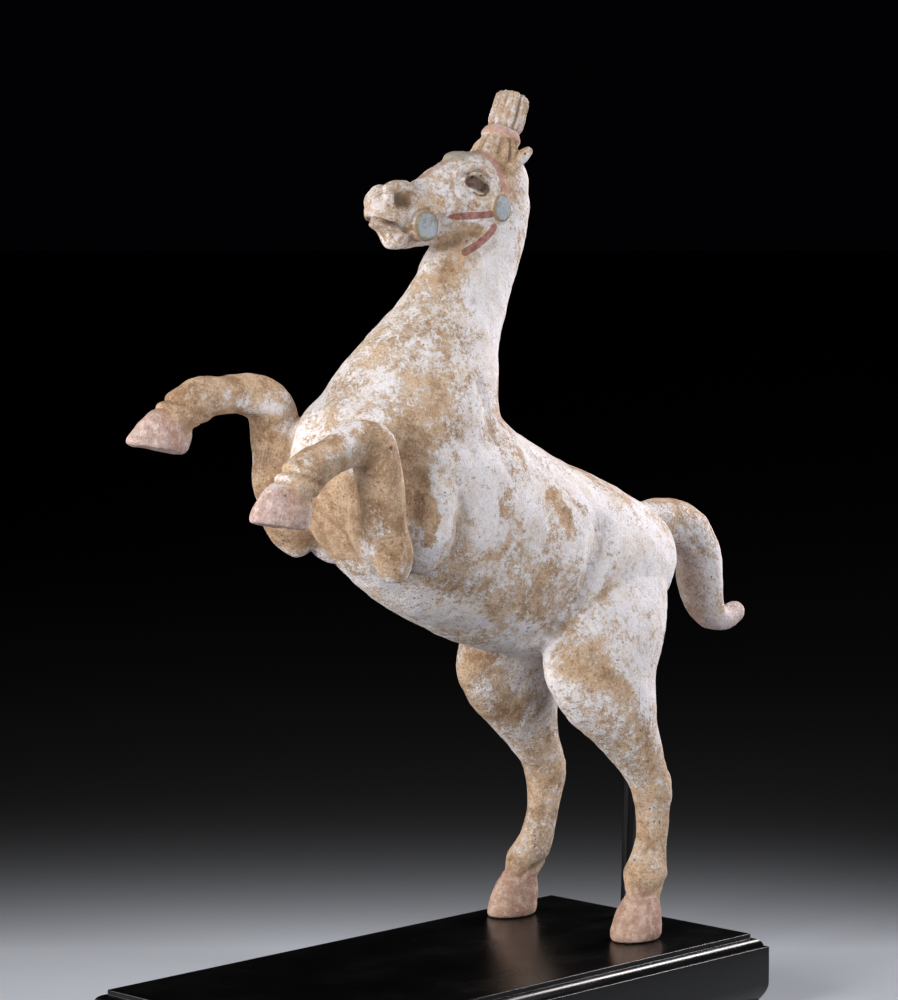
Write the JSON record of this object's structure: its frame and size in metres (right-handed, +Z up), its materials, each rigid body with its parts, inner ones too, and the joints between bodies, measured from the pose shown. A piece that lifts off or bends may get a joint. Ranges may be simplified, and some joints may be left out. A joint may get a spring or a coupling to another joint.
{
  "type": "terracotta horse figure",
  "caption": "Rearing terracotta horse with a bound upright forelock, round bridle bosses and an upcurled tail, held over a moulded black plinth by a slender steel rod.",
  "frame": {"origin": "centre of the plinth's flat underside, on the surface that the work stands on", "axes": "+Z up; the horse faces -X, so its tail is towards +X; its left side faces -Y"},
  "size_m": [0.5646, 0.2146, 0.6623],
  "materials": {
    "terracotta": "unglazed buff earthenware with flaking white slip, matt",
    "black_lacquer": "black lacquered wood, satin gloss",
    "black_steel": "black painted steel rod, gloss"
  },
  "bodies": {
    "root": {"horse": "terracotta", "plinth": "black_lacquer", "support_rod": "black_steel"}
  },
  "joints": []
}
